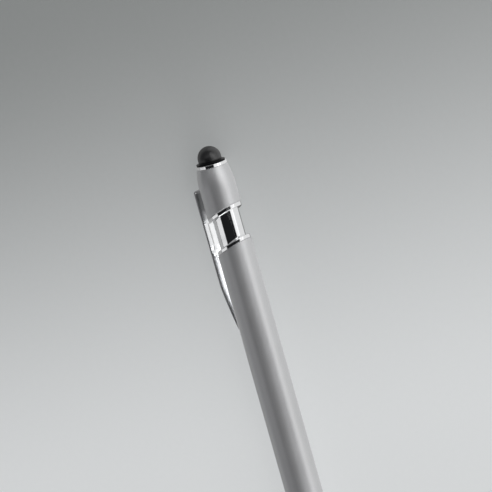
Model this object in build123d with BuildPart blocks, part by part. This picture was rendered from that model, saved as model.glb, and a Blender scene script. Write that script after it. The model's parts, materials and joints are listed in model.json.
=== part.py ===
from build123d import *
import os
from math import acos, asin, atan2, cos, degrees, hypot, pi, radians, sin, sqrt, tan

# A push-action ballpoint pen whose push cap carries a stylus dome and a sprung clip.
# It lies along X on a table, dome towards -X and writing point towards +X, and rests
# on its barrel and on one edge of the clip. All sizes are in millimetres.

# Whole pen and fits
overall_length = 142.0
barrel_diameter = 10.5
slant_angle = 20.5  # tilt of both chrome rings, lowest beside the clip
push_stroke = 6.0  # full travel of the push cap
latch_travel = 4.0  # where the click mechanism holds the refill
fit_gap = 0.03  # between pieces that are pressed or glued together
slide_gap = 0.1  # between pieces that slide or turn
stop_gap = 0.5  # left at the end of the stroke
overrun = 4.0  # how far a cutting shape runs past what it cuts

# Stylus dome, and the chrome collar that holds it in the push cap
dome_diameter = 6.8
dome_neck = 1.5  # straight part between the collar and the round crown
dome_wall = 0.9
brim_diameter = 8.4  # flat brim of the dome that lies on the collar
brim_height = 0.5
brim_round = 0.15
stem_diameter = 4.8
bead_height = 0.3  # rubber bead that snaps in behind the collar
bead_length = 0.8
collar_diameter = 8.9
collar_height = 0.95
collar_round = 0.2
collar_recess = 0.6  # depth of the dome's seat
collar_spigot = 2.5  # depth of the collar inside the cap

# Push cap and the plastic core inside it
cap_length = 13.25
cap_taper = 6.0  # rounded stretch below the collar
cap_wall = 0.7
neck_depth = 5.2  # narrow bore that takes the collar's spigot and the dome's bead
core_spigot = 5.0  # length of the core inside the rod

# Slanted chrome rings and the rod between them
trim_height = 1.25
trim_inset = 0.1  # step from the cap and barrel in to the rings
trim_round = 0.3
trim_wall = 0.42  # wall of the barrel ring's spigot
cap_trim_seat = 0.8  # shortest depth of the upper ring in the cap
barrel_trim_seat = 4.0  # shortest depth of the lower ring in the barrel
push_gap = 8.35  # open length of rod between the rings
rod_wall = 0.5
rod_reach = 0.6  # rod beyond its guide in the barrel

# Clip: a strip with a tongue in the cap, bent in to the barrel at its tip
clip_length = 44.45
clip_width = 5.0
clip_thickness = 0.6
clip_lift = 1.5  # clear height over the barrel
clip_drop = 5.95  # clip's top below the top of the cap
clip_tongue = 1.2  # depth of the tongue in the core
clip_slot_gap = 0.2  # play of the tongue, which lets the clip spring
clip_bend = 0.3  # inside radius at the tongue
clip_dip = 15.6  # stretch that comes in to the barrel
clip_dip_bend = 12.0
clip_flare = 2.2  # turned-out end
clip_flare_lift = 0.4
clip_tip_gap = 0.25
clip_narrowing = 19.0  # stretch that narrows to the tip
clip_tip_width = 2.0
clip_tip_round = 1.0

# Click mechanism: plunger, toothed rotor and the ribbed sleeve that guides them
plunger_plug = 5.0
plunger_flange = 0.8
sleeve_wall = 0.9
sleeve_length = 18.0
rib_count = 4
rib_length = 10.0
rib_height = 0.75
rib_width = 2.2
cam_angle = 35.0
fin_width = 1.6
plunger_fin_length = 3.0
fin_margin = 0.4  # from the fins to the roots of the teeth
rotor_fin_length = 3.5
rotor_length = 8.0
rotor_socket = 3.0
tooth_count = 8
tooth_depth = 0.9
tooth_gap = 0.2
tooth_overcut_share = 1.5
crown_wall = 1.2
crown_depth = 2.0

# Refill
refill_diameter = 3.2
refill_wall = 0.4
refill_plug_head = 1.0
refill_plug_depth = 3.0
refill_vent_diameter = 0.6
ink_space = 6.0  # empty tube behind the ink
holder_spigot = 4.0
holder_shoulder = 1.5
holder_diameter = 3.0
ink_duct_diameter = 0.8
point_diameter = 2.3
point_socket = 2.5
point_cone = 4.5
point_rim = 0.12
ball_diameter = 1.0
ball_gap = 0.015
ball_cover_share = 0.3  # how far the rim closes over the ball, of its radius
tip_recess = 1.5  # how far the point draws back into the nose

# Front end: barrel taper, brass bush and screwed nose cone
barrel_wall = 0.7
barrel_taper = 22.0
barrel_foot_diameter = 8.8
foot_wall = 0.5
foot_bore_length = 12.0
bush_wall = 0.55
bush_length = 8.0
bush_inset = 0.5
nose_length = 16.0
nose_step = 0.1
nose_spigot_wall = 0.75
nose_spigot_length = 9.0
nose_seat_depth = 7.5  # spring seat beyond the barrel's foot
nose_land = 3.0  # plain round band at the cone's base, where a desk stand holds the pen
nose_lip = 0.35
nose_lip_round = 0.2
spring_wire = 0.4
spring_length = 13.0
spring_turns = 9

# Radii that follow from these sizes
barrel_radius = barrel_diameter / 2
bore_radius = barrel_radius - barrel_wall
cap_bore = barrel_radius - cap_wall
collar_radius = collar_diameter / 2
neck_bore = collar_radius - cap_wall
dome_radius = dome_diameter / 2
stem_radius = stem_diameter / 2
rod_radius = bore_radius - fit_gap - trim_wall - slide_gap
rod_bore = rod_radius - rod_wall
sleeve_radius = bore_radius - fit_gap
sleeve_bore = sleeve_radius - sleeve_wall
rib_radius = sleeve_bore - rib_height
cam_radius = rib_radius - slide_gap
fin_radius = sqrt((sleeve_bore - slide_gap) ** 2 - (fin_width / 2) ** 2)
crown_bore = cam_radius - crown_wall
refill_radius = refill_diameter / 2
refill_bore = refill_radius - refill_wall
foot_radius = barrel_foot_diameter / 2
foot_bore = foot_radius - foot_wall
bush_bore = foot_bore - fit_gap - bush_wall
nose_spigot_radius = bush_bore - fit_gap
nose_bore = nose_spigot_radius - nose_spigot_wall
spring_radius = nose_bore - slide_gap - spring_wire / 2
point_radius = point_diameter / 2
ball_radius = ball_diameter / 2
tip_bore = point_radius + slide_gap
nose_tip_radius = tip_bore + nose_lip
clip_inner = barrel_radius + clip_lift
clip_outer = clip_inner + clip_thickness

# Stations along the pen, from the dome at the low end of X to the nose at the high end
dome_top_x = -overall_length / 2
crown_x = dome_top_x + dome_radius
collar_top_x = crown_x + dome_neck
cap_top_x = collar_top_x + collar_height
cap_step_x = cap_top_x + cap_taper
neck_end_x = cap_top_x + neck_depth
slant_rise = barrel_radius * tan(radians(slant_angle))
cap_foot_x = cap_top_x + cap_length
cap_seat_x = cap_foot_x - slant_rise - cap_trim_seat
cap_trim_x = cap_foot_x + trim_height
barrel_trim_x = cap_trim_x + push_gap
barrel_top_x = barrel_trim_x + trim_height
guide_end_x = barrel_top_x + slant_rise + barrel_trim_seat
rod_top_x = cap_seat_x
rod_end_x = guide_end_x + rod_reach
flange_x = rod_end_x + plunger_flange
sleeve_top_x = flange_x + push_stroke + stop_gap
rib_end_x = sleeve_top_x + rib_length
sleeve_end_x = sleeve_top_x + sleeve_length
rotor_fin_x = rib_end_x - latch_travel
rotor_top_x = rotor_fin_x - fin_margin - tooth_depth
rotor_end_x = rotor_top_x + rotor_length
plunger_end_x = rotor_top_x + tooth_depth - tooth_gap
plunger_fin_x = plunger_end_x - tooth_depth - fin_margin - plunger_fin_length
refill_top_x = rotor_end_x - rotor_socket
nose_end_x = overall_length / 2
barrel_foot_x = nose_end_x - nose_length
taper_x = barrel_foot_x - barrel_taper
bore_end_x = barrel_foot_x - foot_bore_length
bush_end_x = barrel_foot_x - bush_inset
nose_cone_x = barrel_foot_x + nose_land
nose_seat_x = barrel_foot_x + nose_seat_depth
shoulder_x = nose_seat_x - spring_length
holder_end_x = nose_seat_x - push_stroke - stop_gap
point_end_x = nose_end_x - tip_recess
ball_x = point_end_x - ball_radius
clip_top_x = cap_top_x + clip_drop
clip_end_x = clip_top_x + clip_length
clip_dip_x = clip_end_x - clip_dip
clip_contact_x = clip_end_x - clip_flare
clip_narrow_x = clip_end_x - clip_narrowing
tongue_x = clip_top_x + clip_thickness / 2
tongue_floor = cap_bore - clip_tongue

# How the pen lies: turned about its axis until barrel and clip edge both touch the table
clip_corner = hypot(clip_outer, clip_width / 2)
rest_angle = asin(barrel_radius / clip_corner) - atan2(clip_width / 2, clip_outer)
clip_reach = clip_outer * cos(rest_angle) + clip_width / 2 * sin(rest_angle)
axis_y = (clip_reach - barrel_radius) / 2
along = Vector(1, 0, 0)
clip_way = Vector(0, -cos(rest_angle), -sin(rest_angle))

# The section plane holds the pen's axis and the middle of the clip: its x is the station
# along the pen, and its y is the distance from the axis towards the clip.
section = Plane(origin=(0, axis_y, barrel_radius), x_dir=along, z_dir=along.cross(clip_way))
pen_axis = Axis(section.origin, along)


def slanted(x):
    """Plane of a slanted ring that crosses the axis at station x, facing the nose."""
    angle = radians(slant_angle)
    normal = along * cos(angle) - clip_way * sin(angle)
    return Plane(origin=section.from_local_coords((x, 0)), x_dir=section.z_dir, z_dir=normal)


def facing(angle):
    """Plane through the axis that faces outwards at an angle round from the clip."""
    outwards = clip_way.rotate(Axis.X, angle)
    return Plane(origin=section.origin, x_dir=along, z_dir=outwards)


def turn(*points):
    """Turn a closed outline of (station, radius) points about the pen's axis."""
    with BuildSketch(section) as half:
        with BuildLine():
            Polyline(*points, close=True)
        make_face()
    revolve(half.sketch, axis=pen_axis)


def tube(start, end, outer, inner):
    """Turn a plain tube between two stations."""
    turn((start, inner), (start, outer), (end, outer), (end, inner))


def ridges(first_angle, inner, outer, *outline):
    """Raise evenly spaced ridges of one (station, sideways) outline between two radii."""
    for index in range(rib_count):
        with BuildSketch(facing(first_angle + index * 360 / rib_count).offset(inner)) as plan:
            with BuildLine():
                Polyline(*outline, close=True)
            make_face()
        extrude(plan.sketch, amount=outer - inner)


def crown_teeth(root_x, tip_x, first_angle):
    """Cut a ring of V-shaped teeth into an end face, as grooves right across it."""
    half_pitch = pi * cam_radius / tooth_count
    mouth_x = root_x + tooth_overcut_share * (tip_x - root_x)
    mouth = tooth_overcut_share * half_pitch
    for index in range(tooth_count // 2):
        with BuildSketch(facing(first_angle + index * 360 / tooth_count)) as groove:
            with BuildLine():
                Polyline((root_x, 0), (mouth_x, mouth), (mouth_x, -mouth), close=True)
            make_face()
        extrude(groove.sketch, amount=sleeve_bore, both=True, mode=Mode.SUBTRACT)


# Barrel: a drawn aluminium tube, cut on the slant at its top and drawn in at its foot
with BuildPart() as barrel:
    blank_x = barrel_top_x - slant_rise - overrun
    with BuildSketch(section):
        with BuildLine():
            wall = Line((blank_x, barrel_radius), (taper_x, barrel_radius))
            drawn = TangentArc(wall @ 1, (barrel_foot_x, foot_radius), tangent=wall % 1)
            Polyline(
                drawn @ 1,
                (barrel_foot_x, foot_bore),
                (bore_end_x, foot_bore),
                (bore_end_x, bore_radius),
                (blank_x, bore_radius),
                wall @ 0,
            )
        make_face()
    revolve(axis=pen_axis)
    split(bisect_by=slanted(barrel_top_x), keep=Keep.TOP)

# Slanted ring on the barrel: a chrome band with a spigot that guides the rod
with BuildPart() as barrel_trim_ring:
    guide_bore = rod_radius + slide_gap
    blank_x = barrel_trim_x - slant_rise - overrun
    tube(blank_x, guide_end_x, barrel_radius - trim_inset, guide_bore)
    split(bisect_by=slanted(barrel_top_x), keep=Keep.BOTTOM)
    tube(barrel_trim_x, guide_end_x, bore_radius - fit_gap, guide_bore)
    split(bisect_by=slanted(barrel_trim_x), keep=Keep.TOP)
    rims = barrel_trim_ring.edges().filter_by(GeomType.ELLIPSE)
    fillet(rims.group_by(SortBy.LENGTH)[-1].sort_by(Axis.X)[0], radius=trim_round)

# Push cap: an aluminium shell, rounded in to the collar and cut on the slant below
with BuildPart() as cap_shell:
    blank_x = cap_foot_x + slant_rise + overrun
    with BuildSketch(section):
        with BuildLine():
            skirt = Line((blank_x, barrel_radius), (cap_step_x, barrel_radius))
            shoulder = TangentArc(skirt @ 1, (cap_top_x, collar_radius), tangent=skirt % 1)
            Polyline(
                shoulder @ 1,
                (cap_top_x, neck_bore),
                (neck_end_x, neck_bore),
                (neck_end_x, cap_bore),
                (blank_x, cap_bore),
                skirt @ 0,
            )
        make_face()
    revolve(axis=pen_axis)
    split(bisect_by=slanted(cap_foot_x), keep=Keep.BOTTOM)
    with BuildSketch(facing(0)):
        with Locations((tongue_x, 0)):
            Rectangle(clip_thickness + 2 * clip_slot_gap, clip_width + 2 * clip_slot_gap)
    extrude(amount=clip_outer, mode=Mode.SUBTRACT)

# Slanted ring under the cap: a chrome band with a spigot in the cap, fixed on the rod
with BuildPart() as cap_trim_ring:
    rod_seat = rod_radius + fit_gap
    blank_x = cap_trim_x + slant_rise + overrun
    tube(cap_seat_x, blank_x, barrel_radius - trim_inset, rod_seat)
    split(bisect_by=slanted(cap_foot_x), keep=Keep.TOP)
    tube(cap_seat_x, cap_trim_x, cap_bore - fit_gap, rod_seat)
    split(bisect_by=slanted(cap_trim_x), keep=Keep.BOTTOM)
    rims = cap_trim_ring.edges().filter_by(GeomType.ELLIPSE)
    fillet(rims.group_by(SortBy.LENGTH)[-1].sort_by(Axis.X)[-1], radius=trim_round)

# Core: a moulded plug that joins cap and rod and holds the clip's tongue
with BuildPart() as cap_core:
    head_x = neck_end_x + fit_gap
    head_foot_x = rod_top_x - fit_gap
    head_radius = cap_bore - fit_gap
    plug_radius = rod_bore - fit_gap
    core_end_x = rod_top_x + core_spigot
    turn(
        (head_x, 0),
        (head_x, head_radius),
        (head_foot_x, head_radius),
        (head_foot_x, plug_radius),
        (core_end_x, plug_radius),
        (core_end_x, 0),
    )
    with BuildSketch(facing(0).offset(tongue_floor - clip_slot_gap)):
        with Locations((tongue_x, 0)):
            Rectangle(clip_thickness + 2 * clip_slot_gap, clip_width + 2 * clip_slot_gap)
    extrude(amount=clip_outer, mode=Mode.SUBTRACT)

# Rod: the chrome tube that shows between the two rings
with BuildPart() as push_rod:
    tube(rod_top_x, rod_end_x, rod_radius, rod_bore)

# Collar: a chrome ring with a seat for the dome and a spigot in the cap's neck
with BuildPart() as stylus_collar:
    seat_radius = dome_radius + fit_gap
    seat_x = collar_top_x + collar_recess
    collar_end_x = cap_top_x + collar_spigot
    turn(
        (collar_top_x, seat_radius),
        (collar_top_x, collar_radius),
        (cap_top_x, collar_radius),
        (cap_top_x, neck_bore - fit_gap),
        (collar_end_x, neck_bore - fit_gap),
        (collar_end_x, stem_radius + fit_gap),
        (seat_x, stem_radius + fit_gap),
        (seat_x, seat_radius),
    )
    top_rims = stylus_collar.edges().filter_by(GeomType.CIRCLE).group_by(Axis.X)[0]
    fillet(top_rims.sort_by(SortBy.RADIUS)[-1], radius=collar_round)

# Stylus dome: soft conductive rubber, hollow, with a brim on the collar and a bead that snaps in
with BuildPart() as stylus_tip:
    brim_x = collar_top_x - fit_gap
    brim_radius = brim_diameter / 2
    bead_x = collar_end_x + fit_gap
    stem_end_x = bead_x + bead_length
    bead_radius = stem_radius + bead_height
    cavity_radius = stem_radius - dome_wall
    with BuildSketch(section):
        with BuildLine():
            crown = CenterArc((crown_x, 0), dome_radius, start_angle=90, arc_size=90)
            hollow = CenterArc((crown_x, 0), cavity_radius, start_angle=90, arc_size=90)
            Polyline(
                crown @ 0,
                (brim_x - brim_height, dome_radius),
                (brim_x - brim_height, brim_radius),
                (brim_x, brim_radius),
                (brim_x, dome_radius),
                (seat_x - fit_gap, dome_radius),
                (seat_x - fit_gap, stem_radius),
                (bead_x, stem_radius),
                (bead_x, bead_radius),
                (stem_end_x, bead_radius),
                (stem_end_x, cavity_radius),
                hollow @ 0,
            )
            Line(hollow @ 1, crown @ 1)
        make_face()
    revolve(axis=pen_axis)
    rims = stylus_tip.edges().filter_by(GeomType.CIRCLE).group_by(SortBy.RADIUS)[-1]
    fillet(rims, radius=brim_round)

# Clip: a sprung strip, seen from the side and then cut to its outline from above
with BuildPart() as clip:
    with BuildSketch(section):
        with BuildLine():
            FilletPolyline(
                (clip_top_x + clip_thickness, tongue_floor),
                (clip_top_x + clip_thickness, clip_inner),
                (clip_dip_x, clip_inner),
                (clip_contact_x, barrel_radius + clip_tip_gap),
                (clip_end_x, barrel_radius + clip_tip_gap + clip_flare_lift),
                radius=[clip_bend, clip_dip_bend, clip_flare],
            )
            offset(amount=clip_thickness, side=Side.LEFT)
        make_face()
    extrude(amount=clip_width / 2, both=True)
    with BuildSketch(facing(0)):
        with BuildLine():
            edge = Line((clip_top_x, clip_width / 2), (clip_narrow_x, clip_width / 2))
            tip = (clip_end_x - clip_tip_round, clip_tip_width / 2)
            side = TangentArc(edge @ 1, tip, tangent=edge % 1)
            ThreePointArc(side @ 1, (clip_end_x, 0), (tip[0], -tip[1]))
            far_edge = Line((clip_top_x, -clip_width / 2), (clip_narrow_x, -clip_width / 2))
            TangentArc(far_edge @ 1, (tip[0], -tip[1]), tangent=far_edge % 1)
            Line(edge @ 0, far_edge @ 0)
        make_face()
    extrude(amount=clip_outer + overrun, mode=Mode.INTERSECT)

# Plunger: a moulded plug in the foot of the rod, with guide fins and pushing teeth
with BuildPart() as plunger:
    plug_x = rod_end_x - plunger_plug
    plug_radius = rod_bore - fit_gap
    flange_top_x = rod_end_x + fit_gap
    crown_x0 = plunger_end_x - crown_depth
    turn(
        (plug_x, 0),
        (plug_x, plug_radius),
        (flange_top_x, plug_radius),
        (flange_top_x, rod_radius),
        (flange_x, rod_radius),
        (flange_x, cam_radius),
        (plunger_end_x, cam_radius),
        (plunger_end_x, crown_bore),
        (crown_x0, crown_bore),
        (crown_x0, 0),
    )
    fin_end_x = plunger_fin_x + plunger_fin_length
    ridges(
        0,
        crown_bore,
        fin_radius,
        (plunger_fin_x, -fin_width / 2),
        (fin_end_x, -fin_width / 2),
        (fin_end_x, fin_width / 2),
        (plunger_fin_x, fin_width / 2),
    )
    crown_teeth(plunger_end_x - tooth_depth, plunger_end_x, 0)

# Rotor: the turning cam that the plunger drives, seated on the end of the refill
with BuildPart() as rotor:
    socket_x = rotor_end_x - rotor_socket
    crown_floor_x = rotor_top_x + crown_depth
    fin_rise = fin_width * tan(radians(cam_angle))
    turn(
        (rotor_top_x, crown_bore),
        (rotor_top_x, cam_radius),
        (rotor_end_x, cam_radius),
        (rotor_end_x, refill_radius + slide_gap),
        (socket_x, refill_radius + slide_gap),
        (socket_x, 0),
        (crown_floor_x, 0),
        (crown_floor_x, crown_bore),
    )
    rotor_fin_end_x = rotor_fin_x + rotor_fin_length
    ridges(
        0,
        refill_radius + slide_gap + fit_gap,
        fin_radius,
        (rotor_fin_x, -fin_width / 2),
        (rotor_fin_end_x, -fin_width / 2),
        (rotor_fin_end_x, fin_width / 2),
        (rotor_fin_x + fin_rise, fin_width / 2),
    )
    crown_teeth(rotor_top_x + tooth_depth, rotor_top_x, 180 / tooth_count)

# Sleeve: a moulded tube fixed in the barrel, whose ribs guide the fins and end in cams
with BuildPart() as cam_sleeve:
    rib_rise = rib_width * tan(radians(cam_angle))
    tube(sleeve_top_x, sleeve_end_x, sleeve_radius, sleeve_bore)
    ridges(
        180 / rib_count,
        rib_radius,
        sleeve_bore + sleeve_wall / 2,
        (sleeve_top_x, -rib_width / 2),
        (rib_end_x, -rib_width / 2),
        (rib_end_x - rib_rise, rib_width / 2),
        (sleeve_top_x, rib_width / 2),
    )

# Refill: tube, vented end plug, ink, point holder, brass point and ball
with BuildPart() as refill_end_plug:
    plug_head_x = refill_top_x + fit_gap
    tube_top_x = plug_head_x + refill_plug_head
    vent_radius = refill_vent_diameter / 2
    plug_end_x = tube_top_x + refill_plug_depth
    turn(
        (plug_head_x, vent_radius),
        (plug_head_x, refill_radius),
        (tube_top_x, refill_radius),
        (tube_top_x, refill_bore - fit_gap),
        (plug_end_x, refill_bore - fit_gap),
        (plug_end_x, vent_radius),
    )

with BuildPart() as refill_tube:
    holder_back_x = shoulder_x - holder_shoulder
    tube(tube_top_x, holder_back_x, refill_radius, refill_bore)

with BuildPart() as point_holder:
    holder_radius = holder_diameter / 2
    duct_radius = ink_duct_diameter / 2
    holder_start_x = holder_back_x - holder_spigot
    point_seat_x = holder_end_x - point_socket
    turn(
        (holder_start_x, duct_radius),
        (holder_start_x, refill_bore - fit_gap),
        (holder_back_x, refill_bore - fit_gap),
        (holder_back_x, nose_bore - slide_gap),
        (shoulder_x, nose_bore - slide_gap),
        (shoulder_x, holder_radius),
        (holder_end_x, holder_radius),
        (holder_end_x, point_radius + fit_gap),
        (point_seat_x, point_radius + fit_gap),
        (point_seat_x, duct_radius),
    )

with BuildPart() as ink_column:
    ink_radius = refill_bore - fit_gap
    ink_start_x = plug_end_x + ink_space
    turn(
        (ink_start_x, 0),
        (ink_start_x, ink_radius),
        (holder_start_x, ink_radius),
        (holder_start_x, 0),
    )

with BuildPart() as ball_point:
    rim_x = ball_x + ball_cover_share * ball_radius
    cone_x = rim_x - point_cone
    socket_radius = ball_radius + ball_gap
    rim_angle = degrees(acos((rim_x - ball_x) / socket_radius))
    duct_angle = 180 - degrees(asin(duct_radius / socket_radius))
    with BuildSketch(section):
        with BuildLine():
            socket = CenterArc((ball_x, 0), socket_radius, rim_angle, duct_angle - rim_angle)
            rim = socket @ 0
            Polyline(
                socket @ 1,
                (point_seat_x + fit_gap, duct_radius),
                (point_seat_x + fit_gap, point_radius),
                (cone_x, point_radius),
                (rim_x, rim.Y + point_rim),
                socket @ 0,
            )
        make_face()
    revolve(axis=pen_axis)

with BuildPart() as writing_ball:
    with Locations(section.from_local_coords((ball_x, 0))):
        Sphere(ball_radius)

# Return spring: a coil between the refill's shoulder and the seat in the nose cone
with BuildPart() as return_spring:
    coil_start_x = shoulder_x + spring_wire / 2 + fit_gap
    coil_length = spring_length - spring_wire - 2 * fit_gap
    with BuildLine() as coil:
        Helix(
            pitch=coil_length / spring_turns,
            height=coil_length,
            radius=spring_radius,
            center=section.from_local_coords((coil_start_x, 0)),
            direction=along,
        )
    with BuildSketch(coil.line ^ 0):
        Circle(spring_wire / 2)
    sweep(is_frenet=True)

# Bush: the brass thread glued into the barrel's foot
with BuildPart() as thread_bush:
    tube(bush_end_x - bush_length, bush_end_x, foot_bore - fit_gap, bush_bore)

# Nose cone: a chrome-plated turning, screwed into the bush and drawn in to the point
with BuildPart() as nose_cone:
    base_radius = foot_radius - nose_step
    spigot_x = barrel_foot_x - nose_spigot_length
    nose_base_x = barrel_foot_x + fit_gap
    with BuildSketch(section):
        with BuildLine():
            land = Line((nose_base_x, base_radius), (nose_cone_x, base_radius))
            ogive = TangentArc(land @ 1, (nose_end_x, nose_tip_radius), tangent=land % 1)
            Polyline(
                ogive @ 1,
                (nose_end_x, tip_bore),
                (nose_seat_x, tip_bore),
                (nose_seat_x, nose_bore),
                (spigot_x, nose_bore),
                (spigot_x, nose_spigot_radius),
                (nose_base_x, nose_spigot_radius),
                land @ 0,
            )
        make_face()
    revolve(axis=pen_axis)
    tip_rims = nose_cone.edges().filter_by(GeomType.CIRCLE).group_by(Axis.X)[-1]
    fillet(tip_rims.sort_by(SortBy.RADIUS)[-1], radius=nose_lip_round)

pieces = {
    "barrel": barrel,
    "barrel_trim_ring": barrel_trim_ring,
    "cap_shell": cap_shell,
    "cap_trim_ring": cap_trim_ring,
    "cap_core": cap_core,
    "push_rod": push_rod,
    "stylus_collar": stylus_collar,
    "stylus_tip": stylus_tip,
    "clip": clip,
    "plunger": plunger,
    "rotor": rotor,
    "cam_sleeve": cam_sleeve,
    "refill_end_plug": refill_end_plug,
    "refill_tube": refill_tube,
    "point_holder": point_holder,
    "ink_column": ink_column,
    "ball_point": ball_point,
    "writing_ball": writing_ball,
    "return_spring": return_spring,
    "thread_bush": thread_bush,
    "nose_cone": nose_cone,
}
os.makedirs("parts", exist_ok=True)
for name, piece in pieces.items():
    piece.part.label = name
    export_step(piece.part, f"parts/{name}.step")

# Places of the joints, for the record
pivot = section.from_local_coords((tongue_x, barrel_radius - cap_wall / 2))
print("clip pivot", pivot, "clip hinge axis", section.z_dir)
print("ball centre", section.from_local_coords((ball_x, 0)))
print("clip contact", section.from_local_coords((clip_contact_x, barrel_radius)))
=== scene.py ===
import json
from math import asin, cos, pi, radians, sin, sqrt, tan, tau

import bmesh
import bpy
from mathutils import Matrix, Vector


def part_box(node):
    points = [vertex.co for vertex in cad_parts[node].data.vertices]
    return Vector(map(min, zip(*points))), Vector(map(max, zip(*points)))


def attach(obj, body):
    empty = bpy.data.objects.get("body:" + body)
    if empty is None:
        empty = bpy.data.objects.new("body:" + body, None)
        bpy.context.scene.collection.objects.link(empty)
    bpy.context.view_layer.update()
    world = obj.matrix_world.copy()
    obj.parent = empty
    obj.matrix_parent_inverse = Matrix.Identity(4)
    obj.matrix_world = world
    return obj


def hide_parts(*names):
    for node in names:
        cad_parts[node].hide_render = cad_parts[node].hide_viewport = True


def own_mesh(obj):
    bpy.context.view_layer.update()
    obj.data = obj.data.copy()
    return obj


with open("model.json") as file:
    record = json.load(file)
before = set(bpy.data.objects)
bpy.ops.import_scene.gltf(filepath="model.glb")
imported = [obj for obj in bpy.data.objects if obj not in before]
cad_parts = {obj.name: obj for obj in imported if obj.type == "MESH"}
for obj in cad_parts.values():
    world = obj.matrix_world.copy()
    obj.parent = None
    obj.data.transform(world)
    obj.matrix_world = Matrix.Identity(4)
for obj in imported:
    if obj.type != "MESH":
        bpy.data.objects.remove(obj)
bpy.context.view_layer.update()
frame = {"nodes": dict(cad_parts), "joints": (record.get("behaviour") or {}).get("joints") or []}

# Barrel: an aluminium tube, bead-blasted and clear anodised to a satin silver grey. Its top
# is sawn on a slant that is lowest beside the clip, and its foot is drawn in to the nose.
# All lengths are in millimetres, as stations along the pen and radii from its axis.
MM = 0.001


def ends(node):
    """Stations at which a node of the frame starts and ends along the pen."""
    low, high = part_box(node)
    return low.x / MM, high.x / MM


barrel_radius = 5.25
barrel_bore = 4.55
barrel_top = -41.05
barrel_plain = -38.0
barrel_foot = ends("barrel")[1]
taper_start = 33.0
taper_steps = 24
bore_end = 43.0
foot_radius = 4.4
foot_bore = 3.9
sawn_edge = 0.1
slant = tan(radians(20.5))
turn_steps = 192
round_steps = 6
hard_edge = radians(32)
weld_gap = 1e-4
speck = 1e-5
dull_silver = (0.58, 0.585, 0.59)
pale_silver = (0.76, 0.765, 0.775)

low_corner, high_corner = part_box("barrel")
pen_axis = Vector((0, low_corner.y + high_corner.y, low_corner.z + high_corner.z)) / 2
clip_hinge = next(joint for joint in frame["joints"] if joint["name"] == "clip_flex")
clip_way = Vector((0, clip_hinge["axis"][2], -clip_hinge["axis"][1])).normalized()
clip_side = Vector((1, 0, 0)).cross(clip_way)


def placed(station, outwards, sideways=0.0):
    """Point of the frame at a station, so far from the axis towards the clip and to its side."""
    along = Vector((station, 0, 0))
    return pen_axis + (along + clip_way * outwards + clip_side * sideways) * MM


def solid(name, points, faces):
    """Make a mesh piece that is shaded smooth, apart from its hard edges."""
    mesh = bpy.data.meshes.new(name)
    mesh.from_pydata(points, [], faces)
    shell = bmesh.new()
    shell.from_mesh(mesh)
    bmesh.ops.remove_doubles(shell, verts=shell.verts, dist=weld_gap * MM)
    bmesh.ops.dissolve_degenerate(shell, edges=shell.edges, dist=speck * MM)
    bmesh.ops.recalc_face_normals(shell, faces=shell.faces)
    shell.to_mesh(mesh)
    shell.free()
    mesh.shade_smooth()
    mesh.set_sharp_from_angle(angle=hard_edge)
    piece = bpy.data.objects.new(name, mesh)
    bpy.context.collection.objects.link(piece)
    return piece


def turned(name, outline):
    """Turn a closed outline of (station, radius, lean) points about the pen's axis.
    A point of lean 1 lies on a slanted plane, and one of lean 0 on a square plane."""
    points, faces = [], []
    count = len(outline)
    for turn in range(turn_steps):
        towards, aside = cos(tau * turn / turn_steps), sin(tau * turn / turn_steps)
        for station, radius, lean in outline:
            leaning = lean * slant * radius * towards
            points.append(placed(station + leaning, radius * towards, radius * aside))
        here, there = turn * count, (turn + 1) % turn_steps * count
        for corner in range(count):
            after = (corner + 1) % count
            faces.append((here + corner, here + after, there + after, there + corner))
    return solid(name, points, faces)


def arc(before, corner, after, radius, steps):
    """Points of the arc that rounds off a corner between the straights to its neighbours."""
    corner = Vector(corner)
    back = (Vector(before) - corner).normalized()
    ahead = (Vector(after) - corner).normalized()
    half = back.angle(ahead) / 2
    centre = corner + (back + ahead).normalized() * radius / sin(half)
    first = corner + back * radius / tan(half) - centre
    last = corner + ahead * radius / tan(half) - centre
    return [centre + first.slerp(last, step / steps) * radius for step in range(steps + 1)]


def eased(corners):
    """Round off the corners of a closed outline: each is (station, radius, lean, rounding).
    A point just beside each arc keeps the walls next to it straight in their shading."""
    outline = []
    for index, (station, radius, lean, rounding) in enumerate(corners):
        if rounding == 0:
            outline.append((station, radius, lean))
            continue
        corner = Vector((station, radius))
        before = Vector(corners[index - 1][:2])
        after = Vector(corners[(index + 1) % len(corners)][:2])
        bend = arc(before, corner, after, rounding, round_steps)
        start = bend[0] + (before - corner).normalized() * rounding / round_steps
        end = bend[-1] + (after - corner).normalized() * rounding / round_steps
        outline.extend((*spot, lean) for spot in (start, *bend, end))
    return outline


def bowed(start, end, steps):
    """Corners of the arc that leaves a straight wall at start and bends in until just before end."""
    run, drop = end[0] - start[0], start[1] - end[1]
    bend = (run * run + drop * drop) / (2 * drop)
    sweep = asin(run / bend)
    turns = [sweep * step / steps for step in range(steps)]
    return [(start[0] + bend * sin(turn), start[1] - bend * (1 - cos(turn)), 0, 0) for turn in turns]


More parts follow.
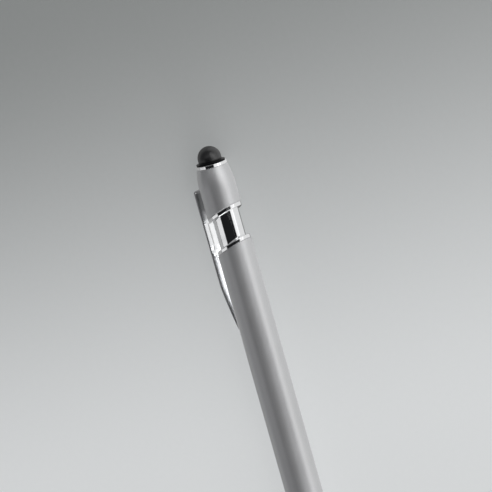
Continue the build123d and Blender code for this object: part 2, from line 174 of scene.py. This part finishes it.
class Field:
    """A shader socket in a Python expression: each operation adds its Math node."""

    def __init__(self, tree, socket=None):
        self.tree = tree
        self.socket = socket

    def node(self, kind, settings, sockets, out=0):
        """Add a node of a kind, with its settings first and then its socket values or links."""
        made = self.tree.nodes.new(kind)
        for key, value in settings.items():
            setattr(made, key, value)
        for key, value in sockets.items():
            if isinstance(value, Field):
                self.tree.links.new(value.socket, made.inputs[key])
            else:
                made.inputs[key].default_value = value
        return Field(self.tree, made.outputs[out])

    def math(self, operation, first, second):
        """Add a Math node on two values or fields."""
        return self.node("ShaderNodeMath", {"operation": operation}, {0: first, 1: second})

    def __add__(self, other):
        return self.math("ADD", self, other)

    def __radd__(self, other):
        return self.math("ADD", other, self)

    def __sub__(self, other):
        return self.math("SUBTRACT", self, other)

    def __rsub__(self, other):
        return self.math("SUBTRACT", other, self)

    def __mul__(self, other):
        return self.math("MULTIPLY", self, other)

    def __rmul__(self, other):
        return self.math("MULTIPLY", other, self)

    def within(self, low, high):
        """Rise smoothly from 0 at low to 1 at high."""
        settings = {"interpolation_type": "SMOOTHSTEP"}
        return self.node("ShaderNodeMapRange", settings, {0: self, 1: low, 2: high})

    def stretched(self, factors):
        """Scale a place along each axis."""
        return self.node("ShaderNodeVectorMath", {"operation": "MULTIPLY"}, {0: self, 1: factors})

    def part(self, axis):
        """One coordinate of a place."""
        return self.node("ShaderNodeSeparateXYZ", {}, {0: self}, out=axis)

    def noise(self, size, detail=2.0):
        """Soft noise of about 0 to 1 over a place, with features of a size in millimetres."""
        sockets = {"Vector": self, "Scale": 1 / (size * MM), "Detail": detail}
        return self.node("ShaderNodeTexNoise", {}, sockets)

    def tint(self, first, second):
        """Mix two colours, with this value as the share of the second."""
        shades = [shade if isinstance(shade, Field) else (*shade, 1) for shade in (first, second)]
        sockets = {0: self, 6: shades[0], 7: shades[1]}
        return self.node("ShaderNodeMix", {"data_type": "RGBA"}, sockets, out=2)

    def relief(self, depth):
        """Turn a height of 0 to 1 into a normal, for a depth in millimetres."""
        sockets = {"Distance": depth * MM, "Height": self}
        return self.node("ShaderNodeBump", {}, sockets)


def finish(name, fixed):
    """Start a material with some fixed socket values. Returns it and its place on the piece."""
    material = bpy.data.materials.new(name)
    material.use_nodes = True
    for socket, value in fixed.items():
        material.node_tree.nodes["Principled BSDF"].inputs[socket].default_value = value
    place = Field(material.node_tree).node("ShaderNodeTexCoord", {}, {}, out="Object")
    return material, place


def feed(material, fields):
    """Link what varies over a surface to the sockets of its shader."""
    shader = material.node_tree.nodes["Principled BSDF"]
    for socket, field in fields.items():
        material.node_tree.links.new(field.socket, shader.inputs[socket])


def fit(piece, body, slot, material, *nodes):
    """Give a piece its finish and body, and let it stand for its nodes of the frame."""
    piece.data.materials.append(material)
    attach(piece, body)
    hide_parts(*nodes)


satin_silver, place = finish("satin_silver", {"Metallic": 0.80})
blasting = place.noise(size=0.22, detail=3.0)
clouding = place.noise(size=9.0)
draw_lines = place.stretched((0.04, 1, 1)).noise(size=0.25)
tone = blasting * 0.6 + clouding * 0.25 + draw_lines * 0.15
feed(satin_silver, {
    "Base Color": tone.tint(dull_silver, pale_silver),
    "Roughness": 0.30 + blasting * 0.12 + clouding * 0.05,
    "Normal": (blasting * 0.8 + draw_lines * 0.2).relief(depth=0.012),
})

barrel = turned("barrel_tube", eased([
    (barrel_top, barrel_radius, 1, sawn_edge),
    (barrel_plain, barrel_radius, 0, 0),
    *bowed((taper_start, barrel_radius), (barrel_foot, foot_radius), taper_steps),
    (barrel_foot, foot_radius, 0, sawn_edge),
    (barrel_foot, foot_bore, 0, sawn_edge),
    (bore_end, foot_bore, 0, 0),
    (bore_end, barrel_bore, 0, 0),
    (barrel_plain, barrel_bore, 0, 0),
    (barrel_top, barrel_bore, 1, sawn_edge),
]))
fit(barrel, "barrel", "anodised_aluminium", satin_silver, "barrel")

# Barrel ring: a bright chrome-plated brass ring on the slant, polished and rounded at its
# free rim. Its spigot is pressed into the barrel's top and guides the push rod.
seam = 0.03
rod_radius = 4.0
ring_radius = barrel_radius - 0.1
ring_round = 0.3
ring_height = 1.25
barrel_ring_top = barrel_top - ring_height
spigot_radius = barrel_bore - seam
guide_bore = rod_radius + 0.1
guide_end = ends("barrel_trim_ring")[1]
clean_chrome = (0.90, 0.905, 0.91)
smeared_chrome = (0.85, 0.855, 0.86)

bright_chrome, place = finish("bright_chrome", {"Metallic": 1.0})
smears = place.noise(size=3.5, detail=4.0).within(0.45, 0.75)
hairlines = place.stretched((1, 0.06, 0.06)).noise(size=0.05)
feed(bright_chrome, {
    "Base Color": smears.tint(clean_chrome, smeared_chrome),
    "Roughness": 0.045 + smears * 0.05 + hairlines * 0.03,
    "Normal": hairlines.relief(depth=0.0004),
})

barrel_ring = turned("barrel_ring", eased([
    (barrel_ring_top, ring_radius, 1, ring_round),
    (barrel_top - seam, ring_radius, 1, sawn_edge),
    (barrel_top - seam, spigot_radius, 1, 0),
    (guide_end, spigot_radius, 0, sawn_edge),
    (guide_end, guide_bore, 0, sawn_edge),
    (barrel_ring_top, guide_bore, 1, sawn_edge),
]))
fit(barrel_ring, "barrel", "chrome_plate", bright_chrome, "barrel_trim_ring")

# Cam sleeve: a dark grey moulding fixed in the barrel, whose ribs guide the click mechanism
# and end in cams. It slides well on the pale acetal of the plunger and rotor.
dark_moulding = (0.095, 0.096, 0.103)
rubbed_moulding = (0.15, 0.151, 0.16)


def coat(material, *nodes):
    """Give nodes of the frame a finish."""
    for node in nodes:
        for slot in frame["nodes"][node].material_slots:
            slot.material = material


grey_plastic, place = finish("grey_plastic", {})
flow = place.noise(size=1.8, detail=3.0)
rubbed = place.noise(size=0.5).within(0.5, 0.8)
feed(grey_plastic, {
    "Base Color": (flow * 0.6 + rubbed * 0.4).tint(dark_moulding, rubbed_moulding),
    "Roughness": 0.50 - rubbed * 0.15,
    "Normal": place.noise(size=0.15).relief(depth=0.003),
})
coat(grey_plastic, "cam_sleeve")

# Thread bush: a turned brass ring, glued into the barrel's foot, that the nose screws into. It
# shows fine tool marks and a little tarnish.
bright_brass = (0.80, 0.61, 0.29)
tarnished_brass = (0.62, 0.44, 0.20)

turned_brass, place = finish("turned_brass", {"Metallic": 1.0})
tool_marks = place.stretched((1, 0.02, 0.02)).noise(size=0.06, detail=3.0)
tarnish = place.noise(size=1.6, detail=3.0).within(0.4, 0.8)
feed(turned_brass, {
    "Base Color": tarnish.tint(bright_brass, tarnished_brass),
    "Roughness": 0.16 + tool_marks * 0.12 + tarnish * 0.15,
    "Normal": tool_marks.relief(depth=0.003),
})
coat(turned_brass, "thread_bush")

# Click mechanism: plunger and toothed rotor, moulded in natural acetal. The plunger is
# pressed into the foot of the rod, and the rotor sits loosely on the end of the refill.
dull_acetal = (0.72, 0.71, 0.67)
clear_acetal = (0.82, 0.81, 0.77)

pale_acetal, place = finish("pale_acetal", {})
flow = place.noise(size=2.5, detail=3.0)
feed(pale_acetal, {
    "Base Color": flow.tint(dull_acetal, clear_acetal),
    "Roughness": 0.38 + flow * 0.2,
    "Normal": place.noise(size=0.2).relief(depth=0.004),
})
coat(pale_acetal, "plunger", "rotor")

# Refill: a milky polypropylene tube with a vented end plug, filled with black paste ink. Its
# brass holder carries a brass point, and a hard metal ball is swaged into the point's rim.
clear_milk = (0.78, 0.80, 0.80)
hazy_milk = (0.88, 0.89, 0.88)
deep_ink = (0.012, 0.012, 0.020)
thin_ink = (0.028, 0.028, 0.042)
grey_ball = (0.42, 0.42, 0.43)
lapped_ball = (0.52, 0.52, 0.53)

milky_tube, place = finish("milky_tube", {"Transmission Weight": 0.55, "IOR": 1.49})
haze = place.noise(size=3.0, detail=3.0)
feed(milky_tube, {
    "Base Color": haze.tint(clear_milk, hazy_milk),
    "Roughness": 0.22 + haze * 0.15,
    "Normal": place.stretched((0.05, 1, 1)).noise(size=0.3).relief(depth=0.003),
})
coat(milky_tube, "refill_tube", "refill_end_plug")

paste_ink, place = finish("paste_ink", {})
pigment = place.noise(size=0.8, detail=3.0)
feed(paste_ink, {
    "Base Color": pigment.tint(deep_ink, thin_ink),
    "Roughness": 0.12 + pigment * 0.08,
    "Normal": pigment.relief(depth=0.004),
})
coat(paste_ink, "ink_column")
coat(turned_brass, "point_holder", "ball_point")

hard_ball, place = finish("hard_ball", {"Metallic": 1.0})
lapping = place.noise(size=0.08, detail=3.0)
feed(hard_ball, {
    "Base Color": lapping.tint(grey_ball, lapped_ball),
    "Roughness": 0.14 + lapping * 0.12,
    "Normal": lapping.relief(depth=0.0008),
})
coat(hard_ball, "writing_ball")

# Return spring: a coil of drawn spring steel wire between the refill's shoulder and the seat
# in the nose cone. It is squeezed against that seat when the refill comes down.
wire_radius = 0.2
wire_steps = 12
coil_radius = 2.24
coil_start = ends("return_spring")[0] + wire_radius
coil_end = ends("return_spring")[1] - wire_radius
coil_turns = 9
coil_steps = 48
nose_seat = 62.5
dark_wire = (0.40, 0.405, 0.41)
bright_wire = (0.58, 0.585, 0.59)

points, faces = [], []
sections = coil_turns * coil_steps
for section in range(sections + 1):
    share = section / sections
    turn = tau * coil_turns * share
    station = coil_start + (coil_end - coil_start) * share
    for spoke in range(wire_steps):
        round_wire = tau * spoke / wire_steps
        reach = coil_radius + wire_radius * cos(round_wire)
        along = station + wire_radius * sin(round_wire)
        points.append(placed(along, reach * cos(turn), reach * sin(turn)))
    if section < sections:
        here, there = section * wire_steps, (section + 1) * wire_steps
        for spoke in range(wire_steps):
            after = (spoke + 1) % wire_steps
            faces.append((here + spoke, here + after, there + after, there + spoke))
faces.append(tuple(range(wire_steps)))
faces.append(tuple(range(sections * wire_steps, (sections + 1) * wire_steps)))

spring_wire, place = finish("spring_wire", {"Metallic": 1.0})
drawing = place.noise(size=0.12, detail=3.0)
feed(spring_wire, {
    "Base Color": drawing.tint(dark_wire, bright_wire),
    "Roughness": 0.20 + drawing * 0.15,
    "Normal": drawing.relief(depth=0.003),
})
spring = solid("spring_coil", points, faces)
fit(spring, "barrel", "spring_steel", spring_wire, "return_spring")
placed(nose_seat, 0)
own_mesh(spring)

# Nose cone: a brass turning, chrome plated and polished, screwed into the bush. It has a plain
# band at its base, then draws in to a rounded lip round the hole for the point.
nose_spigot, nose_end = ends("nose_cone")
nose_spigot_radius = 3.29
nose_base = barrel_foot + seam
nose_band_end = barrel_foot + 3.0
nose_radius = 4.3
nose_steps = 32
nose_lip = 1.6
lip_round = 0.2
nose_bore = 2.54
tip_bore = 1.25

nose = turned("nose_turning", eased([
    (nose_base, nose_radius, 0, sawn_edge),
    *bowed((nose_band_end, nose_radius), (nose_end, nose_lip), nose_steps),
    (nose_end, nose_lip, 0, lip_round),
    (nose_end, tip_bore, 0, sawn_edge),
    (nose_seat, tip_bore, 0, 0),
    (nose_seat, nose_bore, 0, 0),
    (nose_spigot, nose_bore, 0, 0),
    (nose_spigot, nose_spigot_radius, 0, sawn_edge),
    (nose_base, nose_spigot_radius, 0, 0),
]))
fit(nose, "barrel", "chrome_plate", bright_chrome, "nose_cone")

# Push rod: a drawn tube, chrome plated and polished, glued on to the cap's core. It shows
# between the two slanted rings, and slides into the barrel when the cap is pushed.
rod_top, rod_end = ends("push_rod")
rod_bore = 3.5

rod = turned("rod_tube", eased([
    (rod_top, rod_radius, 0, sawn_edge),
    (rod_end, rod_radius, 0, sawn_edge),
    (rod_end, rod_bore, 0, sawn_edge),
    (rod_top, rod_bore, 0, sawn_edge),
]))
fit(rod, "push_cap", "chrome_plate", bright_chrome, "push_rod")

# Cap core: a moulding of dark nylon that joins the cap to the rod. It is pressed into both, and
# its slot holds the clip's tongue.
deep_nylon = (0.022, 0.022, 0.024)
greyed_nylon = (0.042, 0.042, 0.045)

black_nylon, place = finish("black_nylon", {})
flow = place.noise(size=1.2, detail=3.0)
feed(black_nylon, {
    "Base Color": flow.tint(deep_nylon, greyed_nylon),
    "Roughness": 0.42 + flow * 0.2,
    "Normal": place.noise(size=0.18).relief(depth=0.004),
})
coat(black_nylon, "cap_core")

# Push cap: an aluminium shell of the same satin finish as the barrel, rounded in to the
# collar above and sawn on the slant below. A milled slot lets the clip's tongue in.
cap_top = ends("cap_shell")[0]
cap_step = cap_top + 6.0
cap_steps = 20
cap_plain = -55.2
cap_foot = -51.9
neck_end = cap_top + 5.2
neck_radius = 4.45
neck_bore = 3.75
clip_top, clip_end = ends("clip")
clip_thickness = 0.6
clip_half_width = 2.5
tongue_station = clip_top + clip_thickness / 2
slot_length = 1.0
slot_half_width = clip_half_width + 0.2
slot_floor = rod_radius
slot_mouth = barrel_radius + 0.9

cap = turned("cap_shell_turning", eased([
    (cap_foot, barrel_radius, 1, sawn_edge),
    (cap_plain, barrel_radius, 0, 0),
    (tongue_station + slot_length, barrel_radius, 0, 0),
    *bowed((cap_step, barrel_radius), (cap_top, neck_radius), cap_steps),
    (cap_top, neck_radius, 0, sawn_edge),
    (cap_top, neck_bore, 0, 0),
    (neck_end, neck_bore, 0, 0),
    (neck_end, barrel_bore, 0, 0),
    (cap_plain, barrel_bore, 0, 0),
    (cap_foot, barrel_bore, 1, sawn_edge),
]))
mill = solid("slot_mill", [
    placed(station, outwards, aside)
    for station in (tongue_station - slot_length / 2, tongue_station + slot_length / 2)
    for outwards in (slot_floor, slot_mouth)
    for aside in (-slot_half_width, slot_half_width)
], [(0, 1, 3, 2), (4, 6, 7, 5), (0, 4, 5, 1), (2, 3, 7, 6), (0, 2, 6, 4), (1, 5, 7, 3)])
cut = cap.modifiers.new("slot", "BOOLEAN")
cut.object = mill
milled = bpy.data.meshes.new_from_object(cap.evaluated_get(bpy.context.evaluated_depsgraph_get()))
cap.modifiers.clear()
cap.data = milled
cap.data.set_sharp_from_angle(angle=hard_edge)
bpy.data.objects.remove(mill)
fit(cap, "push_cap", "anodised_aluminium", satin_silver, "cap_shell")

# Cap ring: the barrel ring's twin, chrome plated, with its spigot pressed up into the cap. Its
# rounded free rim faces the gap, and it is glued on the rod.
cap_ring_foot = cap_foot + ring_height
rod_seat = rod_radius + seam

cap_ring = turned("cap_ring", eased([
    (cap_ring_foot, ring_radius, 1, ring_round),
    (cap_foot + seam, ring_radius, 1, sawn_edge),
    (cap_foot + seam, spigot_radius, 1, 0),
    (rod_top, spigot_radius, 0, sawn_edge),
    (rod_top, rod_seat, 0, 0),
    (cap_ring_foot, rod_seat, 1, 0),
]))
fit(cap_ring, "push_cap", "chrome_plate", bright_chrome, "cap_trim_ring")

# Stylus collar: a turned and chrome-plated ring with an eased top rim. It is pressed into the
# cap's neck, carries the brim of the rubber dome and grips its foot.
collar_top, collar_end = ends("stylus_collar")
collar_round = 0.1
collar_rim = 0.04
collar_seat = collar_top + 0.6
collar_spigot = neck_bore - seam
dome_radius = 3.4
stem_radius = 2.4
seat_radius = dome_radius + seam
stem_bore = stem_radius + seam

collar = turned("collar_turning", eased([
    (collar_top, seat_radius, 0, sawn_edge),
    (collar_top, neck_radius, 0, collar_round),
    (cap_top - seam, neck_radius, 0, collar_rim),
    (cap_top - seam, collar_spigot, 0, 0),
    (collar_end, collar_spigot, 0, sawn_edge),
    (collar_end, stem_bore, 0, 0),
    (collar_seat, stem_bore, 0, 0),
    (collar_seat, seat_radius, 0, 0),
]))
fit(collar, "push_cap", "chrome_plate", bright_chrome, "stylus_collar")

# Stylus dome: soft black conductive rubber, moulded hollow so that it flattens on glass. Its brim
# lies on the collar, and the bead on its stem snaps in behind. The crown has a dull gloss and a
# little dust, and the foot and brim are matt.
dome_top, bead_end = ends("stylus_tip")
dome_centre = dome_top + dome_radius
dome_foot = collar_seat - seam
dome_steps = 40
brim_foot = collar_top - seam
brim_top = brim_foot - 0.5
brim_radius = 4.2
brim_round = 0.15
brim_hollow = 0.3
bead_start = collar_end + seam
bead_radius = 2.7
hollow_radius = 1.5
gloss_fades = -67.4
gloss_ends = -66.7
deep_rubber = (0.004, 0.004, 0.005)
dusty_rubber = (0.022, 0.022, 0.024)

quarter = [pi / 2 * step / dome_steps for step in range(dome_steps + 1)]
crown = [(dome_centre - dome_radius * cos(turn), dome_radius * sin(turn), 0) for turn in quarter]
hollow = [(dome_centre - hollow_radius * cos(turn), hollow_radius * sin(turn), 0) for turn in quarter]
dome = turned("stylus_dome", [
    *crown[:-1],
    *eased([
        (dome_centre, dome_radius, 0, 0),
        (brim_top, dome_radius, 0, brim_hollow),
        (brim_top, brim_radius, 0, brim_round),
        (brim_foot, brim_radius, 0, brim_round),
        (brim_foot, dome_radius, 0, 0),
        (dome_foot, dome_radius, 0, 0),
        (dome_foot, stem_radius, 0, 0),
        (bead_start, stem_radius, 0, 0),
        (bead_start, bead_radius, 0, 0),
        (bead_end, bead_radius, 0, 0),
        (bead_end, hollow_radius, 0, 0),
    ]),
    *reversed(hollow),
])

matt_rubber, place = finish("matt_rubber", {
    "Specular IOR Level": 0.1,
    "Coat IOR": 1.7,
    "Coat Roughness": 0.3,
})
skin = place.noise(size=0.16, detail=3.0)
dust = place.noise(size=0.35).within(0.66, 0.78)
bloom = place.noise(size=4.0, detail=3.0)
on_crown = 1 - place.part("X").within(gloss_fades * MM, gloss_ends * MM)
edge_on = place.node("ShaderNodeLayerWeight", {}, {"Blend": 0.5}, out="Facing").within(0.35, 0.9)
feed(matt_rubber, {
    "Base Color": (dust * 0.5 + bloom * 0.3).tint(deep_rubber, dusty_rubber),
    "Roughness": 0.30 + skin * 0.10 + dust * 0.2,
    "Coat Weight": on_crown * (1 - edge_on) * (0.9 + bloom * 0.1 - dust * 0.3),
    "Normal": skin.relief(depth=0.009),
})
fit(dome, "push_cap", "stylus_rubber", matt_rubber, "stylus_tip")

# Clip: a strip of spring steel, blanked, bent and chrome plated. A short tongue goes through
# the cap into its core, and the free end dips to the barrel and flares out at a round tip.
clip_inner = barrel_radius + 1.5
clip_narrow = clip_end - 19.0
clip_tip_half = 1.0
clip_tip_depth = 1.0
clip_edge = 0.14
tongue_floor = 3.35
tongue_bend = 0.3
dip_station = clip_end - 15.6
dip_bend = 12.0
contact_station = clip_end - 2.2
contact_height = barrel_radius + 0.25
flare_height = 5.9
flare_bend = 2.2
bend_steps = 10
strip_start = 5
tip_steps = 14
edge_steps = 4
rim_facing = 0.93
dark_shear = (0.32, 0.32, 0.325)
pale_shear = (0.46, 0.46, 0.465)

corners = [
    (clip_top + clip_thickness, tongue_floor),
    (clip_top + clip_thickness, clip_inner),
    (dip_station, clip_inner),
    (contact_station, contact_height),
    (clip_end, flare_height),
]
bends = (tongue_bend, dip_bend, flare_bend)
inner_line = [Vector(corners[0])]
for before, corner, after, bend in zip(corners, corners[1:], corners[2:], bends):
    inner_line.extend(arc(before, corner, after, bend, bend_steps))
inner_line.append(Vector(corners[-1]))
reaches = [0.0]
for before, after in zip(inner_line, inner_line[1:]):
    reaches.append(reaches[-1] + (after - before).length)
clip_reach = reaches[-1]


def on_clip(reach):
    """Point of the clip's inner line at a reach along it from the tongue's end."""
    index = next((i for i, end in enumerate(reaches[1:]) if reach <= end), len(reaches) - 2)
    start, end = inner_line[index], inner_line[index + 1]
    return start + (end - start).normalized() * (reach - reaches[index])


def clip_point(reach, width, height):
    """Point of the clip so far across it, and so far out from its inner face."""
    way = (on_clip(reach + clip_edge) - on_clip(reach - clip_edge)).normalized()
    station, outwards = on_clip(reach) + Vector((-way.y, way.x)) * height
    return placed(station, outwards, width)


tip_start = clip_reach - clip_tip_depth
side_run = clip_end - clip_tip_depth - clip_narrow
side_drop = clip_half_width - clip_tip_half
side_bend = (side_run ** 2 + side_drop ** 2) / (2 * side_drop)
side = []
for reach in sorted({*reaches, *range(strip_start, int(tip_start))}):
    drawn_in = max(on_clip(reach).x - clip_narrow, 0)
    if reach < tip_start:
        side.append((reach, clip_half_width - side_bend + sqrt(side_bend ** 2 - drawn_in ** 2)))
for step in range(tip_steps):
    turn = pi / 2 * step / tip_steps
    side.append((tip_start + clip_tip_depth * sin(turn), clip_tip_half * cos(turn)))
rim = side + [(clip_reach, 0.0)] + [(reach, -width) for reach, width in reversed(side)]
inwards = []
for before, after in zip(rim[:1] + rim, rim[1:] + rim[-1:]):
    way = (Vector(after) - Vector(before)).normalized()
    inwards.append(Vector((way.y, -way.x)))

turns = [pi / 2 * step / edge_steps for step in range(edge_steps + 1)]
levels = [(clip_edge * (1 - sin(turn)), clip_edge * (1 - cos(turn))) for turn in turns]
levels += [(inset, clip_thickness - height) for inset, height in reversed(levels)]
points, faces = [], []
for inset, height in levels:
    for spot, inwards_here in zip(rim, inwards):
        points.append(clip_point(*(Vector(spot) + inwards_here * inset), height))
count = len(rim)
for level in range(len(levels) - 1):
    for index in range(count - 1):
        here, there = level * count + index, (level + 1) * count + index
        faces.append((here, here + 1, there + 1, there))
for level in (0, len(levels) - 1):
    for index in range(count // 2):
        left, right = level * count + index, level * count + count - 1 - index
        faces.append((left, left + 1, right - 1, right))
tongue_ends = [level * count for level in range(len(levels))]
faces.append((*tongue_ends, *(end + count - 1 for end in reversed(tongue_ends))))

sheared_rim, place = finish("sheared_rim", {"Metallic": 1.0})
shear_marks = place.stretched((1, 0.1, 0.1)).noise(size=0.12, detail=3.0)
feed(sheared_rim, {
    "Base Color": shear_marks.tint(dark_shear, pale_shear),
    "Roughness": 0.26 + shear_marks * 0.14,
    "Normal": shear_marks.relief(depth=0.003),
})
clip = solid("clip_strip", points, faces)
fit(clip, "clip", "chrome_strip", bright_chrome, "clip")
clip.data.materials.append(sheared_rim)
for face in clip.data.polygons:
    if abs(face.normal.dot(clip_side)) > rim_facing:
        face.material_index = 1

# Camera: a long lens above the pen, at the photograph's angle. The pen's top leans to the left
# and a little towards the lens, and the clip lies behind its left edge.
view_lean = radians(15.8)
view_tilt = radians(8.8)
view_round = radians(132)
view_depth = 20.0
frame_width = 140.0
camera_distance = 1000.0
aim_station = -40.45
aim_aside = 3.16

square_on = clip_way * cos(view_round) - clip_side * sin(view_round)
towards_camera = square_on * cos(view_tilt) - Vector((1, 0, 0)) * sin(view_tilt)
upwards = (Vector((-1, 0, 0)) + towards_camera * towards_camera.x).normalized()
rightwards = upwards.cross(towards_camera)
turned_right = rightwards * cos(view_lean) - upwards * sin(view_lean)
turned_up = rightwards * sin(view_lean) + upwards * cos(view_lean)
aim_point = placed(aim_station, 0) + rightwards * aim_aside * MM
stand = Matrix.Translation(aim_point + towards_camera * camera_distance * MM)
lens = bpy.data.cameras.new("camera")
lens.sensor_width = 36.0
lens.lens = lens.sensor_width * camera_distance / frame_width
lens.clip_end = view_depth
camera = bpy.data.objects.new("camera", lens)
camera.matrix_world = stand @ Matrix((turned_right, turned_up, towards_camera)).transposed().to_4x4()
bpy.context.collection.objects.link(camera)
bpy.context.scene.camera = camera
bpy.context.scene.view_settings.view_transform = "Standard"

# Floor: a wide sheet of grey paper that takes the pen's shadow. To the camera it glows with a painted
# light that pales towards the nose. Bright metal sees a painted reflection of its own: pale to the right,
# a painted white patch under the clip, painted shade under the cap and a painted shadow beside the rod.
# Places on it are in millimetres along and across the pen.
floor_half = 4000.0
dim_glow = (0.107, 0.114, 0.112)
pale_glow = (0.509, 0.521, 0.526)
lit_paper = (0.290, 0.296, 0.294)
lit_fibre = (0.31, 0.316, 0.314)
grey_paper = (0.135, 0.138, 0.137)
grey_fibre = (0.15, 0.153, 0.152)
black = (0, 0, 0)
white = (1, 1, 1)


def between(field, rise, fall):
    """Rise smoothly from 0 to 1 between two places, and fall again between two more."""
    return field.within(*rise) * (1 - field.within(*fall))


paper, place = finish("paper", {"Specular IOR Level": 0.2, "Emission Strength": 1.0})
floor_place = place.stretched((1 / MM, 1 / MM, 1 / MM))
along_floor = floor_place.part("X")
across_floor = floor_place.part("Y")
# The camera sees a painted glow, dim towards the cap end and pale towards the nose.
painted_camera_glow = along_floor.within(-127, 24).tint(dim_glow, pale_glow)

# Painted reflection seen only by bright metal: paler to the right, a painted white patch under the clip,
# painted shade under the cap and a painted shadow beside the rod.
beside_cap = between(along_floor, (-64, -61), (-53.5, -50.5))
beside_rod = between(along_floor, (-56, -52), (-42, -38))
beside_clip = between(along_floor, (-52.5, -49.5), (-16, -4))
painted_pale_right = across_floor.within(1, 6)
painted_glow_under_clip = between(across_floor, (-14, -9), (1, 4)) * beside_clip
painted_shade_under_cap = between(across_floor, (-11, -8), (-4, 1)) * beside_cap
painted_rod_shadow = between(across_floor, (2, 5), (6, 7.8)) * beside_rod
painted_reflection_tone = 0.34 + painted_pale_right * 0.36 + painted_glow_under_clip * 0.60 - painted_shade_under_cap * 0.18 - painted_rod_shadow * 0.62

to_camera = place.node("ShaderNodeLightPath", {}, {}, out="Is Camera Ray")
in_metal = place.node("ShaderNodeLightPath", {}, {}, out="Is Glossy Ray")
in_tube = place.node("ShaderNodeLightPath", {}, {}, out="Is Transmission Ray")
# Glossy and transmission rays see the painted reflection as the floor's glow.
painted_floor_reflection = (in_metal + in_tube).tint(black, painted_reflection_tone.tint(black, white))
fibre = place.noise(size=1.5, detail=3.0)
feed(paper, {
    "Base Color": to_camera.tint(fibre.tint(grey_paper, grey_fibre), fibre.tint(lit_paper, lit_fibre)),
    "Roughness": 0.75 + fibre * 0.1,
    "Emission Color": to_camera.tint(painted_floor_reflection, painted_camera_glow),
})
floor = solid("floor", [
    (-floor_half * MM, -floor_half * MM, 0),
    (floor_half * MM, -floor_half * MM, 0),
    (floor_half * MM, floor_half * MM, 0),
    (-floor_half * MM, floor_half * MM, 0),
], [(0, 1, 2, 3)])
floor.data.materials.append(paper)

# Studio: a pale room that is dark overhead, where the camera stands. Soft boxes light the cap,
# the shoulder and the nose, with a white card on the right and a slim one on the left. A small
# light lies on the floor in the wedge between clip and barrel. Lengths are in metres.
overhead_way = Vector((0.10, 0.30, 0.95)).normalized()
low_wall = (0.50, 0.505, 0.51)
high_wall = (0.18, 0.18, 0.185)
grey_ceiling = (0.36, 0.36, 0.365)
dark_ceiling = (0.012, 0.012, 0.013)

world = bpy.data.worlds.new("studio")
bpy.context.scene.world = world
world.use_nodes = True
facing = Field(world.node_tree).node("ShaderNodeTexCoord", {}, {}, out="Generated")
dot_product = {"operation": "DOT_PRODUCT"}
overhead = facing.node("ShaderNodeVectorMath", dot_product, {0: facing, 1: overhead_way}, out="Value")
camera_side = between(facing.part("X"), (-0.30, 0.02), (0.28, 0.42))
walls = facing.part("Z").within(0.0, 0.16).tint(low_wall, high_wall)
room = overhead.within(0.55, 0.72).tint(walls, camera_side.tint(grey_ceiling, dark_ceiling))
world.node_tree.links.new(room.socket, world.node_tree.nodes["Background"].inputs["Color"])


def soft_light(name, spot, aim, width, height, radiance, shape="RECTANGLE"):
    """Place a soft light that faces a point, with an even brightness over its face."""
    lamp = bpy.data.lights.new(name, "AREA")
    lamp.shape = shape
    lamp.size, lamp.size_y = width, height
    lamp.energy = pi * width * height * radiance
    light = bpy.data.objects.new(name, lamp)
    light.location = spot
    light.rotation_mode = "QUATERNION"
    light.rotation_quaternion = (Vector(spot) - Vector(aim)).to_track_quat("Z", "Y")
    light.visible_camera = False
    bpy.context.collection.objects.link(light)


soft_light("cap_light", (-0.241, 0.236, 0.19), aim=(-0.241, 0, 0), width=0.45, height=0.195, radiance=0.95)
soft_light("shoulder_light", (0.42, 0.36, 0.45), aim=(0, 0, 0), width=0.5, height=0.5, radiance=0.6)
soft_light("nose_light", (0.86, 0.10, 0.30), aim=(0, 0, 0), width=0.5, height=0.4, radiance=3.0)
soft_light("right_card", (0.05, 0.9, 0.23), aim=(0, 0, 0), width=1.6, height=0.46, radiance=0.84)
soft_light("left_card", (0.063, -0.65, 0.45), aim=(0.063, 0, 0), width=0.06, height=0.70, radiance=0.62)
soft_light(
    "wedge_light", (-0.0285, -0.0020, 0.0003), aim=(-0.0285, -0.0020, 0.01),
    width=0.0265, height=0.0036, radiance=1.8, shape="ELLIPSE",
)
